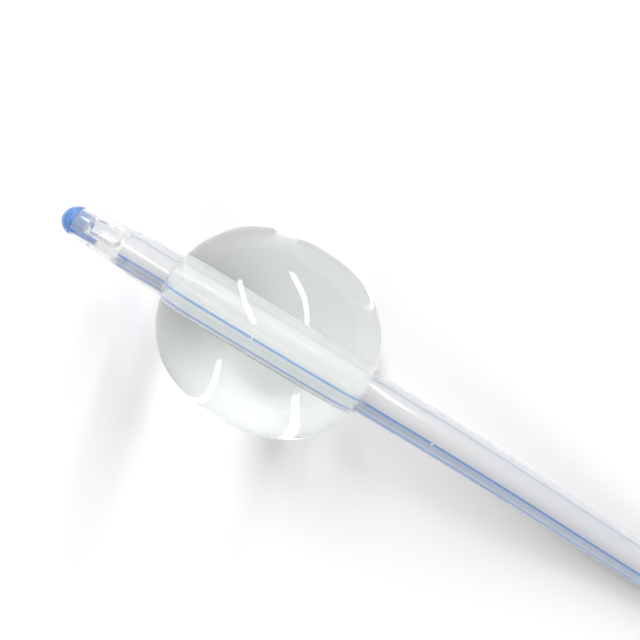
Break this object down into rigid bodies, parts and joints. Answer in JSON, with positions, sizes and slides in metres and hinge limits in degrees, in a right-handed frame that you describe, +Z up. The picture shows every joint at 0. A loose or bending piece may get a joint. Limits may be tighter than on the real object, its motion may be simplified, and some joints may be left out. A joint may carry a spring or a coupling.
{
  "type": "foley urinary catheter",
  "caption": "Silicone urinary catheter lying filled on a table: blue tip, drainage eyes, water-filled balloon, striped folded shaft, drainage funnel and sprung inflation valve.",
  "frame": {"origin": "middle of the flat spot on which the full balloon rests on the table", "axes": "+X from the balloon along the shaft towards its tail, with the tip towards -X; +Z up from the table"},
  "size_m": [0.2398, 0.0453, 0.0237],
  "materials": {
    "blue_silicone": "gloss",
    "clear_silicone": "gloss",
    "striped_silicone": "gloss",
    "balloon_silicone": "gloss",
    "water": "gloss",
    "milky_silicone": "satin",
    "orange_plastic": "satin",
    "white_plastic": "satin",
    "dark_rubber": "matte",
    "spring_steel": "polished",
    "tie_film": "satin"
  },
  "bodies": {
    "catheter": {"tip_cap": "blue_silicone", "tip_eye_section": "clear_silicone", "catheter_shaft": "striped_silicone", "balloon_sleeve": "balloon_silicone", "balloon_fill": "water", "drainage_funnel": "milky_silicone", "size_ring": "orange_plastic", "valve_housing": "white_plastic", "valve_spring": "spring_steel", "valve_retainer": "white_plastic", "storage_tie": "tie_film"},
    "plunger": {"valve_plunger": "white_plastic", "valve_seal": "dark_rubber"}
  },
  "joints": [
    {"name": "valve_plunger_slide", "type": "slide", "parent": "catheter", "child": "plunger", "axis": [0.766, -0.6428, 0], "range_m": [0, 0.0015], "stiffness_N_per_m": 300, "springref_m": -0.0005, "deforming": ["valve_spring"]}
  ]
}
